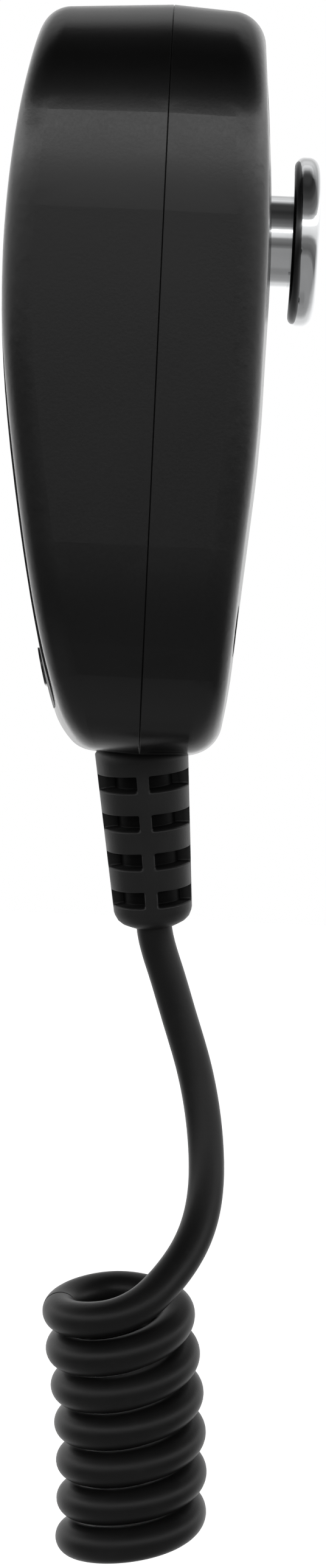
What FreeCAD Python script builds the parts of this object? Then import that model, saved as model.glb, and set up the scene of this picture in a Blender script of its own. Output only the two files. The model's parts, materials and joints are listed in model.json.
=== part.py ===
import FreeCAD, Part
import math
import os

os.makedirs("parts", exist_ok=True)

# Palm microphone with a side talk bar, a hang-up stud and a coiled cord. Millimetres.
# X is depth (front -X, back +X), Y is width (talk bar on +Y), Z is up.
# The origin is on the axis of the hang-up stud, on its neck, 1.1 mm from the head.
V = FreeCAD.Vector

# ---- case -------------------------------------------------------------------
PARTING_X = -14.45          # plane where the front and rear shells meet
DRAFT_DEG = 3.5             # draft of the case sides, both ways from that plane
WALL = 2.0                  # side and rear wall
FRONT_WALL = 2.8            # thicker front wall, it carries the face plate pocket
FRONT_EDGE_R = 3.8
REAR_EDGE_R = 4.2
LIP_DEPTH = 1.2             # alignment lip of the front shell inside the rear shell
GROOVE = 0.1                # chamfer on each side of the parting line
BOTTOM_Z = -64.2
# corners of the case seen from the front: y, z, corner radius
OUTLINE = [
    (0, 25.85, 150), (27.2, 25.25, 17), (28.6, 3, 70), (25.2, -46, 90), (21.5, BOTTOM_Z, 11),
    (-21.5, BOTTOM_Z, 11), (-25.2, -46, 90), (-28.6, 3, 70), (-27.2, 25.25, 17),
]
# depth of the case by height: z, front x, front crown, rear x, rear crown, rise of the face plate
DEPTH = [
    (36, -27.7, 0.5, -4.8, 0.5, 0.0), (24, -29.9, 0.5, -3.3, 0.5, 0.0),
    (10, -32.6, 0.45, -2.0, 0.5, 0.0), (-5, -33.63, 0.4, -1.25, 0.5, -0.02),
    (-22, -32.4, 0.3, -1.45, 0.5, -0.15), (-40, -29.33, 0.2, -2.6, 0.5, -0.25),
    (-50, -27.35, 0.35, -3.4, 0.5, -0.25), (-57, -25.8, 0.9, -4.05, 0.5, -0.15),
    (-60.5, -24.6, 1.3, -4.6, 0.5, 0.0), (-63.2, -22.5, 1.6, -5.0, 0.5, 0.0),
    (-66.5, -19.0, 1.8, -5.7, 0.5, 0.0), (-76, -11.0, 1.8, -7.6, 0.5, 0.0),
]
CROWN_Y = 19.0              # the crown is the fall of the surface at this distance from y = 0
CORE_HALF = 34.0

# ---- face plate, badge and microphone port ------------------------------------
PLATE_OUTLINE = [
    (20.5, 17.0, 7), (21.0, -5, 60), (19.5, -40, 60), (17.0, -59.0, 6),
    (-17.0, -59.0, 6), (-19.5, -40, 60), (-21.0, -5, 60), (-20.5, 17.0, 7),
]
PLATE_DEPTH = 1.3
PLATE_GAP = 0.08
BADGE_Z = -53.9
BADGE_LENGTH = 13.0
BADGE_HEIGHT = 4.5
BADGE_RISE = 0.3
BADGE_RECESS = 0.3
MIC_Z = -2.0
PORT_R = 8.0
SLOT_HEIGHT = 1.5
SLOT_PITCH = 3.1
SLOT_HALF_LENGTHS = [3.6, 6.0, 6.8, 6.0, 3.6]
MIC_SEAT_X = -29.6
HOLDER_R = 10.5
CAPSULE_R = 4.85
CAPSULE_LENGTH = 5.0

# ---- hang-up stud --------------------------------------------------------------
STUD_SEAT_X = -1.75
NECK_R = 5.6
HEAD_R = 10.4
HEAD_X = 1.1
HEAD_EDGE_R = 1.3           # rounding between the head's underside and its rim
RIM_LENGTH = 0.5            # straight part of the rim
SHOULDER_R = 1.5            # rounding between the rim and the domed outer face
DOME_EDGE_DEG = 6.4         # slope of the dome where the shoulder begins
STUD_BOSS_X = -6.5

# ---- case screws ----------------------------------------------------------------
# y, z and the x of the seat under the head
CASE_SCREWS = [(16.8, 12.5, -5.4), (-16.8, 12.5, -5.4), (14.5, -49.0, -7.0), (-14.5, -49.0, -7.0)]
CASE_SCREW_LENGTH = 13.0

# ---- circuit board ----------------------------------------------------------------
BOARD_FRONT_X = -21.8
BOARD_THICK = 1.6
BOARD_REAR_X = BOARD_FRONT_X + BOARD_THICK
BOARD_OUTLINE = [
    (-19.0, 9.0, 1.5), (20.0, 9.0, 1.5), (20.0, -21.0, 1.0), (13.0, -21.0, 1.0),
    (13.0, -42.0, 1.5), (-19.0, -42.0, 1.5),
]
BOARD_SCREWS = [(-15.0, 6.0), (-15.0, -37.0), (9.5, -37.0)]

# ---- talk bar, its pin, spring and switch -------------------------------------------
BAR_X0 = -22.2
BAR_X1 = -9.8
BAR_TOP_Z = 11.7
BAR_BOTTOM_Z = -33.5
BAR_INNER_Y = 25.0
BAR_GAP = 0.3
PIVOT_Y = 24.6
PIVOT_Z = 9.0
PIN_R = 1.0
PIN_CLEARANCE = 0.04
NOSE_Y = 24.4
NOSE_Z = -13.0
NOSE_R = 1.5
SWITCH_Z = NOSE_Z
SWITCH_X = -17.3
SWITCH_BASE_Y = 14.6
SWITCH_TOP_Y = 21.1
PLUNGER_TIP_Y = 22.85
SPRING_X = -16.0
SPRING_Z = -27.0
SPRING_SEAT_Y = 17.0
SPRING_R = 2.3
SPRING_WIRE_R = 0.45
SPRING_TURNS = 4

# ---- boot and cord ---------------------------------------------------------------------
CORD_R = 2.22
CORD_PLAY = 0.02
LEAN_X = 0.1185             # the boot leans back this much for each millimetre down
LEAN_Y = 0.17               # and this much to the talk bar's side
CORD_BEND = 4.5             # the cord bends into the boot over this length on each side of the root
BOOT_LENGTH = 21.3
BOOT_ROOT_X = -14.2          # the boot stands a little behind the parting plane
BOOT_ROOT_R = 5.75
BOOT_END_R = 4.88
BOOT_NECK_R = 4.3
BOOT_FLANGE_R = 6.2
BOOT_SLOT_ROWS = 4
BOOT_SLOT_FIRST = 2.8
BOOT_SLOT_PITCH = 4.85
BOOT_SLOT_HEIGHT = 1.8
BOOT_CORE_R = 3.6
BOOT_WEB = 1.5
JACKET_TOP_Z = -50.0
CLAMP_Z = -55.0
CLAMP_SEAT_X = -17.7
CLAMP_THICK = 1.5
COIL_R = 7.15
COIL_PITCH = 4.96
COIL_HALF_TURNS = 11
COIL_TOP_Z = -134.1
COIL_TOP_X = -13.75
COIL_DRIFT_X = 2.65         # the coil hangs a little askew: its axis moves this far in X
COIL_DRIFT_Y = 5.0          # and this far away in Y
TILT_X = (0.165, 0.08)      # slope of the loops to the back, top and bottom of the coil
TILT_Y = (0.27, 0.12)       # slope of the loops across
TAIL_TURN_DEG = 30.0
TAIL_BEND_R = 30.0          # the tail leaves the coil in a wider bend, then runs straight
TAIL_BEND_LENGTH = 7.0
TAIL_LENGTH = 13.0
STRIP_DEPTH = 1.2            # the four conductors are seen this deep in the cut end
CONDUCTOR_RING_R = 0.98
CONDUCTOR_R = 0.6
# centre line of the lead between the boot and the coil
LEAD = [
    (-9.95, 4.2, -91.0), (-8.0, 4.5, -96.6), (-6.1, 4.4, -102.1), (-4.75, 3.8, -107.4), (-3.9, 2.7, -113.3),
    (-3.85, 1.2, -118.3), (-4.85, -0.8, -122.9), (-6.8, -3.1, -126.5), (-8.6, -4.8, -128.7),
    (-11.2, -6.6, -131.0), (-14.3, -7.2, -132.5), (-17.4, -6.2, -133.2), (-20.1, -3.4, -133.4),
]
FIRST_LOOP = [(-21.05, 0, -133.1), (-18.9, 5.1, -132.0), (-13.7, 7.2, -131.2), (-8.6, 5.1, -131.7)]


# ---- helpers --------------------------------------------------------------------------
def box(x0, x1, y0, y1, z0, z1):
    return Part.makeBox(x1 - x0, y1 - y0, z1 - z0, V(x0, y0, z0))


def rod_x(y, z, r, x0, x1):
    return Part.makeCylinder(r, x1 - x0, V(x0, y, z), V(1, 0, 0))


def rod_y(x, z, r, y0, y1):
    return Part.makeCylinder(r, y1 - y0, V(x, y0, z), V(0, 1, 0))


def rod_z(x, y, r, z0, z1):
    return Part.makeCylinder(r, z1 - z0, V(x, y, z0), V(0, 0, 1))


def unit(a, b):
    length = math.hypot(a, b)
    return a / length, b / length


def rounded_wire(corners, place, inset=0.0):
    """Closed polygon with rounded corners, moved inwards by inset and placed in space."""
    count = len(corners)
    area = 0.0
    for i in range(count):
        area += corners[i - 1][0] * corners[i][1] - corners[i][0] * corners[i - 1][1]
    turn = 1 if area > 0 else -1
    lines = []
    for i in range(count):
        a = corners[i]
        b = corners[(i + 1) % count]
        dx, dy = unit(b[0] - a[0], b[1] - a[1])
        lines.append((a[0] - dy * turn * inset, a[1] + dx * turn * inset, dx, dy))
    arcs = []
    for i in range(count):
        px, py, dx, dy = lines[i - 1]
        qx, qy, ex, ey = lines[i]
        cross = dx * ey - dy * ex
        t = ((qx - px) * ey - (qy - py) * ex) / cross
        cx = px + dx * t
        cy = py + dy * t
        r = max(corners[i][2] - inset, 0.05)
        half = math.atan2(abs(cross), dx * ex + dy * ey) / 2
        back = r * math.tan(half)
        start = (cx - dx * back, cy - dy * back)
        end = (cx + ex * back, cy + ey * back)
        mx, my = unit(start[0] + end[0] - 2 * cx, start[1] + end[1] - 2 * cy)
        lift = r / math.cos(half) - r
        arcs.append((start, (cx + mx * lift, cy + my * lift), end))
    edges = []
    for i in range(count):
        start, middle, end = arcs[i]
        edges.append(Part.Arc(place(*start), place(*middle), place(*end)).toShape())
        after = arcs[(i + 1) % count][0]
        if math.hypot(after[0] - end[0], after[1] - end[1]) > 1e-4:
            edges.append(Part.makeLine(place(*end), place(*after)))
    return Part.Wire(edges)


def plate_prism(corners, x0, x1, inset=0.0):
    """Straight prism along X over a rounded outline given in y, z."""
    wire = rounded_wire(corners, lambda a, b: V(x0, a, b), inset)
    return Part.Face(wire).extrude(V(x1 - x0, 0, 0))


def case_prism(x0, x1, inset, draft=DRAFT_DEG):
    """Case outline drawn out from x0 to x1, getting smaller by the draft."""
    smaller = inset + abs(x1 - x0) * math.tan(math.radians(draft))
    near = rounded_wire(OUTLINE, lambda a, b: V(x0, a, b), inset)
    far = rounded_wire(OUTLINE, lambda a, b: V(x1, a, b), smaller)
    return Part.makeLoft([near, far], True, True)


def core(front_in, rear_in, rise=0.0):
    """Solid between the curved front and the curved rear surface of the case."""
    scale = (CORE_HALF / CROWN_Y) ** 2
    wires = []
    for z, front, front_crown, rear, rear_crown, plate_rise in DEPTH:
        f = front + front_in + plate_rise * rise
        r = rear - rear_in
        fe = f + front_crown * scale
        re = r - rear_crown * scale
        edges = [
            Part.Arc(V(fe, -CORE_HALF, z), V(f, 0, z), V(fe, CORE_HALF, z)).toShape(),
            Part.makeLine(V(fe, CORE_HALF, z), V(re, CORE_HALF, z)),
            Part.Arc(V(re, CORE_HALF, z), V(r, 0, z), V(re, -CORE_HALF, z)).toShape(),
            Part.makeLine(V(re, -CORE_HALF, z), V(fe, -CORE_HALF, z)),
        ]
        wires.append(Part.Wire(edges))
    return Part.makeLoft(wires, True, False)


def rim_edges(solid, sign, flat=0.6, steep=0.5):
    """Edges between the face looking along sign * X and the walls round it."""
    found = []
    for edge in solid.Edges:
        if edge.Length < 1e-4:
            continue
        faces = solid.ancestorsOfType(edge, Part.Face)
        if len(faces) != 2:
            continue
        middle = edge.valueAt((edge.FirstParameter + edge.LastParameter) / 2)
        slopes = []
        for face in faces:
            u, v = face.Surface.parameter(middle)
            slopes.append(face.normalAt(u, v).x * sign)
        if max(slopes) > flat and min(slopes) < steep:
            found.append(edge)
    return found


def case_body(inset, front_in, rear_in, front_r, rear_r):
    halves = case_prism(PARTING_X, -42, inset).fuse(case_prism(PARTING_X, 8, inset))
    solid = halves.common(core(front_in, rear_in)).Solids[0]
    solid = solid.makeFillet(front_r, rim_edges(solid, -1))
    return solid.makeFillet(rear_r, rim_edges(solid, 1))


def revolve_x(points, y=0.0, z=0.0):
    """Turn a profile of (x, radius) points about an axis along X; four numbers give an arc."""
    edges = []
    last = None
    for p in points:
        here = V(p[0], y + p[1], z)
        if last is not None:
            if len(p) == 4:
                edges.append(Part.Arc(last, V(p[2], y + p[3], z), here).toShape())
            else:
                edges.append(Part.makeLine(last, here))
        last = here
    first = V(points[0][0], y + points[0][1], z)
    edges.append(Part.makeLine(last, first))
    face = Part.Face(Part.Wire(edges))
    return face.revolve(V(0, y, z), V(1, 0, 0), 360)


def screw(length, shank_r, head_r, head_h):
    """Pan head screw along X with its seat at the origin, head towards +X, cross recess."""
    profile = [
        (-length, 0), (-length, shank_r * 0.3), (shank_r - length, shank_r), (0, shank_r), (0, head_r),
        (head_h * 0.5, head_r), (head_h, head_r * 0.55, head_h * 0.88, head_r * 0.86), (head_h, 0),
    ]
    solid = revolve_x(profile)
    arm = head_r * 0.55
    slot = head_r * 0.13
    cross = box(head_h * 0.4, head_h + 1, -arm, arm, -slot, slot)
    cross = cross.fuse(box(head_h * 0.4, head_h + 1, -slot, slot, -arm, arm))
    return solid.cut(cross)


def screw_row(places, length, shank_r, head_r, head_h):
    """The same screw at several places, given as y, z and seat x, as one group of separate solids."""
    group = []
    for y, z, seat_x in places:
        one = screw(length, shank_r, head_r, head_h)
        one.translate(V(seat_x, y, z))
        group.append(one)
    return Part.makeCompound(group)


def pipe(edges, radius):
    """Round section swept along edges that follow each other smoothly."""
    first = edges[0].FirstParameter
    profile = Part.Wire(Part.makeCircle(radius, edges[0].valueAt(first), edges[0].tangentAt(first)))
    sweep = Part.BRepOffsetAPI.MakePipeShell(Part.Wire(edges))
    sweep.setFrenetMode(False)
    sweep.add(profile, False, False)
    sweep.build()
    sweep.makeSolid()
    return sweep.shape()


def tube(curve, radius, first, last, pieces=1):
    """Round section swept along a part of a smooth curve, as one solid with a face for each piece."""
    edges = []
    for i in range(pieces):
        a = first + (last - first) * i / pieces
        b = first + (last - first) * (i + 1) / pieces
        edges.append(curve.toShape(a, b))
    return pipe(edges, radius)


def smooth(points, first_dir, last_dir):
    """Smooth curve through the points, leaving and arriving along the given directions of length 1."""
    curve = Part.BSplineCurve()
    curve.interpolate(Points=points, InitialTangent=first_dir, FinalTangent=last_dir, Scale=False)
    return curve


def export(name, shape):
    shape.exportStep("parts/" + name + ".step")


# ---- front and rear shells ----------------------------------------------------------------
outer = case_body(0.0, 0.0, 0.0, FRONT_EDGE_R, REAR_EDGE_R)
inner = case_body(WALL, FRONT_WALL, WALL, 1.6, 2.4)
hollow = outer.cut(inner)
front_side = box(-60, PARTING_X, -50, 50, -90, 50)
rear_side = box(PARTING_X, 30, -50, 50, -90, 50)
front_shell = hollow.common(front_side)
rear_shell = hollow.common(rear_side)

# alignment lip and its rebate
lip_end = PARTING_X + LIP_DEPTH
lip = case_prism(PARTING_X - 1.0, lip_end, 1.05, 0).cut(case_prism(PARTING_X - 1.1, lip_end + 0.1, WALL, 0))
lip = lip.common(outer)
front_shell = front_shell.fuse(lip)
rear_shell = rear_shell.cut(case_prism(PARTING_X - 0.1, lip_end + 0.15, 0.95, 0))

# shallow V groove along the parting line
slab_front = case_prism(PARTING_X, PARTING_X - GROOVE, -1.0, 0)
slab_rear = case_prism(PARTING_X, PARTING_X + GROOVE, -1.0, 0)
front_shell = front_shell.cut(slab_front.cut(case_prism(PARTING_X, PARTING_X - GROOVE, GROOVE, -45)))
rear_shell = rear_shell.cut(slab_rear.cut(case_prism(PARTING_X, PARTING_X + GROOVE, GROOVE, -45)))

# posts of the front shell: case screws, circuit board, microphone seat
posts = rod_x(0, MIC_Z, 12.0, -36, -26)
for y, z, _ in CASE_SCREWS:
    posts = posts.fuse(rod_x(y, z, 3.2, -36, PARTING_X))
for y, z in BOARD_SCREWS:
    posts = posts.fuse(rod_x(y, z, 2.8, -36, BOARD_FRONT_X))
posts = posts.fuse(box(-30, CLAMP_SEAT_X, -9, 9, CLAMP_Z - 2.5, CLAMP_Z + 2.5))
posts = posts.fuse(box(-34, -11.5, 15.5, SPRING_SEAT_Y, -31.5, -22.5))
posts = posts.fuse(box(-24.6, -22.8, 21.6, 30, 5.5, 12.5))
posts = posts.common(inner)
front_shell = front_shell.fuse(posts)
front_shell = front_shell.fuse(rod_y(SPRING_X, SPRING_Z, 1.7, SPRING_SEAT_Y - 0.5, SPRING_SEAT_Y + 1.4))
front_shell = front_shell.cut(rod_x(0, MIC_Z, PORT_R, -40, MIC_SEAT_X))
front_shell = front_shell.cut(rod_x(0, MIC_Z, HOLDER_R + 0.05, MIC_SEAT_X, -20))
for y, z, _ in CASE_SCREWS:
    front_shell = front_shell.cut(rod_x(y, z, 1.47, -22, PARTING_X + 0.1))
for y, z in BOARD_SCREWS:
    front_shell = front_shell.cut(rod_x(y, z, 0.98, -28, BOARD_FRONT_X + 0.1))

# posts of the rear shell
rear_posts = rod_x(0, 0, 8.0, STUD_BOSS_X, 0)
for y, z, seat_x in CASE_SCREWS:
    rear_posts = rear_posts.fuse(rod_x(y, z, 4.6, seat_x - 1.8, 0))
    rear_posts = rear_posts.fuse(rod_x(y, z, 3.2, PARTING_X, 0))
rear_posts = rear_posts.fuse(box(-9.2, -7.4, 21.6, 30, 5.5, 12.5))
rear_posts = rear_posts.common(inner)
rear_shell = rear_shell.fuse(rear_posts)
for y, z, seat_x in CASE_SCREWS:
    rear_shell = rear_shell.cut(rod_x(y, z, 1.7, PARTING_X - 0.1, 0))
    rear_shell = rear_shell.cut(rod_x(y, z, 3.1, seat_x, 2))
rear_shell = rear_shell.cut(rod_x(0, 0, 2.2, STUD_BOSS_X - 0.1, 0))
rear_shell = rear_shell.cut(rod_x(0, 0, NECK_R + 0.15, STUD_SEAT_X, 2))

# opening for the talk bar, bores for its pin, hole for the boot, bed for the cord
bar_corners = [
    (BAR_X0 - BAR_GAP, BAR_TOP_Z + BAR_GAP, 2.6), (BAR_X1 + BAR_GAP, BAR_TOP_Z + BAR_GAP, 2.6),
    (BAR_X1 + BAR_GAP, BAR_BOTTOM_Z - 0.5, 2.6), (BAR_X0 - BAR_GAP, BAR_BOTTOM_Z - 0.5, 2.6),
]
opening = Part.Face(rounded_wire(bar_corners, lambda a, b: V(a, 23.0, b))).extrude(V(0, 10, 0))
pin_bore = rod_x(PIVOT_Y, PIVOT_Z, PIN_R + 0.01, -24.5, -7.5)
boot_hole = rod_z(PARTING_X, 0, BOOT_NECK_R + 0.05, BOTTOM_Z - 2, BOTTOM_Z + 6)
inner_dir = V(LEAN_X, 0, -1)
inner_dir.normalize()
lean_dir = V(LEAN_X, LEAN_Y, -1)
lean_dir.normalize()
boot_root = V(BOOT_ROOT_X, 0, BOTTOM_Z)
boot_end = boot_root + lean_dir * BOOT_LENGTH
jacket_top = boot_root + inner_dir * ((JACKET_TOP_Z - BOTTOM_Z) / inner_dir.z)
cord_bed = Part.makeCylinder(CORD_R + CORD_PLAY, 12.0, jacket_top, inner_dir)
for y in (-6.3, 6.3):
    front_shell = front_shell.cut(rod_x(y, CLAMP_Z, 1.12, -23.5, CLAMP_SEAT_X + 0.1))
for tool in (opening, pin_bore, boot_hole, cord_bed):
    front_shell = front_shell.cut(tool)
    rear_shell = rear_shell.cut(tool)

# pocket of the face plate
pocket = plate_prism(PLATE_OUTLINE, -50, -20).cut(core(PLATE_DEPTH, 0.0))
front_shell = front_shell.cut(pocket)
export("front_shell", front_shell)
export("rear_shell", rear_shell)

# ---- face plate with sound slots, and the blank badge ------------------------------------------
plate = plate_prism(PLATE_OUTLINE, -50, -20, PLATE_GAP).common(core(0.0, 0.0, 1.0))
plate = plate.cut(core(PLATE_DEPTH - 0.02, 0.0))
for i in range(len(SLOT_HALF_LENGTHS)):
    half = SLOT_HALF_LENGTHS[i]
    z = MIC_Z + (i - 2) * SLOT_PITCH
    slot = box(-40, -25, -half, half, z - SLOT_HEIGHT / 2, z + SLOT_HEIGHT / 2)
    slot = slot.fuse(rod_x(half, z, SLOT_HEIGHT / 2, -40, -25))
    slot = slot.fuse(rod_x(-half, z, SLOT_HEIGHT / 2, -40, -25))
    plate = plate.cut(slot)
b = BADGE_LENGTH / 2
h = BADGE_HEIGHT / 2
badge_outline = [(-b, BADGE_Z + h, 2.2), (b, BADGE_Z + h, 2.2), (b, BADGE_Z - h, 2.2), (-b, BADGE_Z - h, 2.2)]
badge = plate_prism(badge_outline, -50, -20).common(core(-BADGE_RISE, 0.0, 1.0))
badge = badge.cut(core(BADGE_RECESS - 0.01, 0.0, 1.0))
plate = plate.cut(plate_prism(badge_outline, -50, -20, -0.05).cut(core(BADGE_RECESS, 0.0, 1.0)))
export("face_plate", plate)
export("badge", badge)

# ---- microphone capsule in its rubber cup, with a dust screen -----------------------------------
export("dust_screen", rod_x(0, MIC_Z, HOLDER_R, MIC_SEAT_X, MIC_SEAT_X + 0.3))
cup_x = MIC_SEAT_X + 0.3
pocket_x = cup_x + 1.2
holder = rod_x(0, MIC_Z, HOLDER_R, cup_x, BOARD_FRONT_X)
holder = holder.cut(rod_x(0, MIC_Z, 3.0, cup_x - 1, pocket_x + 1))
holder = holder.cut(rod_x(0, MIC_Z, CAPSULE_R + 0.02, pocket_x, BOARD_FRONT_X + 1))
holder = holder.cut(rod_x(0, MIC_Z, HOLDER_R + 1, -26, -24).cut(rod_x(0, MIC_Z, HOLDER_R - 1.2, -27, -23)))
export("capsule_holder", holder)
capsule = rod_x(0, MIC_Z, CAPSULE_R, pocket_x, pocket_x + CAPSULE_LENGTH)
capsule = capsule.makeFillet(0.4, [e for e in capsule.Edges if e.Length > 20])
capsule = capsule.cut(rod_x(0, MIC_Z, 1.0, pocket_x - 1, pocket_x + 0.4))
capsule = capsule.fuse(rod_x(1.6, MIC_Z, 0.3, pocket_x + CAPSULE_LENGTH - 0.1, BOARD_FRONT_X))
capsule = capsule.fuse(rod_x(-1.6, MIC_Z, 0.3, pocket_x + CAPSULE_LENGTH - 0.1, BOARD_FRONT_X))
export("mic_capsule", capsule)

# ---- circuit board and what is on it ------------------------------------------------------------
board = plate_prism(BOARD_OUTLINE, BOARD_FRONT_X, BOARD_REAR_X)
for y, z in BOARD_SCREWS:
    board = board.cut(rod_x(y, z, 1.1, BOARD_FRONT_X - 1, BOARD_REAR_X + 1))
for z in (SWITCH_Z - 5.0, SWITCH_Z, SWITCH_Z + 5.0):
    board = board.cut(rod_x(17.0, z, 0.5, BOARD_FRONT_X - 1, BOARD_REAR_X + 1))
export("circuit_board", board)
board_seats = [(y, z, BOARD_REAR_X) for y, z in BOARD_SCREWS]
export("board_screws", screw_row(board_seats, 6.0, 0.96, 1.9, 1.3))

chip = box(BOARD_REAR_X + 0.2, BOARD_REAR_X + 1.75, -10.0, -6.0, -9.0, -4.0)
chip = chip.makeChamfer(0.25, [e for e in chip.Edges if e.Length > 3.5])
for i in range(4):
    z = -8.4 + i * 1.27
    for y0, y1, foot0, foot1 in ((-10.35, -9.8, -11.0, -10.1), (-6.2, -5.65, -5.9, -5.0)):
        chip = chip.fuse(box(BOARD_REAR_X, BOARD_REAR_X + 0.95, y0, y1, z - 0.2, z + 0.2))
        chip = chip.fuse(box(BOARD_REAR_X, BOARD_REAR_X + 0.18, foot0, foot1, z - 0.2, z + 0.2))
export("amplifier_chip", chip)
cans = []
for y, z in ((-11.5, -20.0), (-4.0, -20.0), (3.5, -20.0)):
    can = rod_x(y, z, 2.5, BOARD_REAR_X, BOARD_REAR_X + 5.4)
    can = can.makeFillet(0.4, [e for e in can.Edges if e.Length > 10])
    cans.append(can.cut(rod_x(y, z, 3, BOARD_REAR_X + 1.0, BOARD_REAR_X + 1.4).cut(
        rod_x(y, z, 2.3, BOARD_REAR_X + 0.5, BOARD_REAR_X + 2))))
export("capacitors", Part.makeCompound(cans))
connector = box(BOARD_REAR_X, BOARD_REAR_X + 5.0, -6.2, 6.2, -40.5, -35.0)
connector = connector.cut(box(BOARD_REAR_X + 3.9, BOARD_REAR_X + 6, -4.5, 4.5, -39.0, -35.8))
connector = connector.makeChamfer(0.3, [e for e in connector.Edges if abs(e.Length - 12.4) < 0.01])
export("wire_connector", connector)

# ---- talk bar ------------------------------------------------------------------------------------
bar_outline = [
    (BAR_X0, BAR_TOP_Z, 2.3), (BAR_X1, BAR_TOP_Z, 2.3),
    (BAR_X1, BAR_BOTTOM_Z, 2.3), (BAR_X0, BAR_BOTTOM_Z, 2.3),
]
bar = Part.Face(rounded_wire(bar_outline, lambda a, b: V(a, BAR_INNER_Y, b))).extrude(V(0, 8, 0))
crown = []
for z, y in ((BAR_TOP_Z + 6, 28.4), (6.0, 29.6), (-12.0, 29.9), (-26.0, 29.6), (BAR_BOTTOM_Z - 6, 28.3)):
    high_a = V(BAR_X0 - 2, y - 0.9, z)
    high_b = V(BAR_X1 + 2, y - 0.9, z)
    low_a = V(BAR_X0 - 2, 20, z)
    low_b = V(BAR_X1 + 2, 20, z)
    arc = Part.Arc(high_a, V((BAR_X0 + BAR_X1) / 2, y, z), high_b).toShape()
    crown.append(Part.Wire([
        arc, Part.makeLine(high_b, low_b), Part.makeLine(low_b, low_a), Part.makeLine(low_a, high_a),
    ]))
bar = bar.common(Part.makeLoft(crown, True, False))
top_rim = []
for edge in bar.Edges:
    box_e = edge.BoundBox
    if box_e.YMin > 27.0 and edge.Length > 0.1:
        top_rim.append(edge)
bar = bar.makeFillet(1.1, top_rim)
for i in range(7):
    z = -29.0 + i * 2.6
    bar = bar.cut(rod_x(30.6, z, 1.0, BAR_X0 + 2.2, BAR_X1 - 2.2))
bar = bar.fuse(rod_x(PIVOT_Y, PIVOT_Z, 2.6, BAR_X0 + 1.2, BAR_X1 - 1.2))
bar = bar.fuse(rod_x(NOSE_Y, NOSE_Z, NOSE_R, -19.5, -13.0))
bar = bar.fuse(box(-20.5, -11.5, 21.6, 25.5, -33.3, -31.5))
bar = bar.fuse(box(-20.5, -11.5, 21.6, 23.2, -35.8, -31.5))
bar = bar.fuse(rod_y(SPRING_X, SPRING_Z, 1.7, 23.6, 25.5))
bar = bar.cut(rod_x(PIVOT_Y, PIVOT_Z, PIN_R + PIN_CLEARANCE, BAR_X0 - 1, BAR_X1 + 1))
export("ptt_bar", bar)
pin = rod_x(PIVOT_Y, PIVOT_Z, PIN_R, -24.4, -7.6)
export("ptt_pivot_pin", pin.makeChamfer(0.2, [e for e in pin.Edges if e.Length < 7]))

# ---- return spring between the seat rib and the bar -------------------------------------------------
wire_gap = 0.02
spring_rise = BAR_INNER_Y - SPRING_SEAT_Y - 2 * SPRING_WIRE_R - 2 * wire_gap
helix = Part.makeHelix(spring_rise / SPRING_TURNS, spring_rise, SPRING_R)
wire_end = Part.Wire(Part.makeCircle(SPRING_WIRE_R, V(SPRING_R, 0, 0), helix.Edges[0].tangentAt(0)))
spring = Part.Wire(helix.Edges).makePipeShell([wire_end], True, True)
spring.rotate(V(0, 0, 0), V(1, 0, 0), -90)
spring.translate(V(SPRING_X, SPRING_SEAT_Y + SPRING_WIRE_R + wire_gap, SPRING_Z))
export("ptt_return_spring", spring)

# ---- talk switch with its plunger --------------------------------------------------------------------
switch = box(BOARD_REAR_X, BOARD_REAR_X + 5.8, SWITCH_BASE_Y, SWITCH_TOP_Y, SWITCH_Z - 6.4, SWITCH_Z + 6.4)
switch = switch.makeChamfer(0.4, [e for e in switch.Edges if abs(e.Length - 5.8) < 0.01])
switch = switch.cut(box(SWITCH_X - 0.85, SWITCH_X + 0.85, 16.4, 22, SWITCH_Z - 1.35, SWITCH_Z + 1.35))
for z in (SWITCH_Z - 5.0, SWITCH_Z, SWITCH_Z + 5.0):
    switch = switch.fuse(rod_x(17.0, z, 0.4, BOARD_FRONT_X - 0.9, BOARD_REAR_X + 0.5))
for z in (SWITCH_Z - 3.3, SWITCH_Z + 3.3):
    switch = switch.cut(rod_x(16.4, z, 0.9, BOARD_REAR_X + 5.0, BOARD_REAR_X + 6))
export("ptt_switch", switch)
plunger = box(SWITCH_X - 0.8, SWITCH_X + 0.8, 18.4, PLUNGER_TIP_Y, SWITCH_Z - 1.3, SWITCH_Z + 1.3)
plunger = plunger.makeFillet(0.35, [e for e in plunger.Edges if e.BoundBox.YMin > PLUNGER_TIP_Y - 0.01])
export("switch_plunger", plunger)

# ---- hang-up stud, its screw and washer ------------------------------------------------------------------
# the outer face is part of a sphere centred on the axis, and the shoulder runs into it smoothly
rim_x = HEAD_X + HEAD_EDGE_R
shoulder_x = rim_x + RIM_LENGTH
bevel = HEAD_EDGE_R * (1 - math.sqrt(0.5))
slope = math.radians(DOME_EDGE_DEG)
middle = (math.pi / 2 + slope) / 2
dome_x = shoulder_x + SHOULDER_R * math.cos(slope)
dome_r = HEAD_R - SHOULDER_R * (1 - math.sin(slope))
sphere_r = dome_r / math.sin(slope)
face_x = dome_x + sphere_r * (1 - math.cos(slope))
half_x = face_x - sphere_r + math.sqrt(sphere_r ** 2 - (dome_r / 2) ** 2)
turn_x = shoulder_x + SHOULDER_R * math.cos(middle)
turn_r = HEAD_R - SHOULDER_R * (1 - math.sin(middle))
stud = revolve_x([
    (STUD_SEAT_X, 0), (STUD_SEAT_X, NECK_R), (HEAD_X, NECK_R), (HEAD_X, HEAD_R - HEAD_EDGE_R),
    (rim_x, HEAD_R, HEAD_X + bevel, HEAD_R - bevel), (shoulder_x, HEAD_R),
    (dome_x, dome_r, turn_x, turn_r), (face_x, 0, half_x, dome_r / 2),
])
stud = stud.cut(rod_x(0, 0, 2.02, STUD_SEAT_X - 1, 3.2))
export("hang_up_stud", stud)
stud_screw = screw(10.5, 2.0, 3.8, 2.6)
stud_screw.rotate(V(0, 0, 0), V(0, 0, 1), 180)
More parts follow.
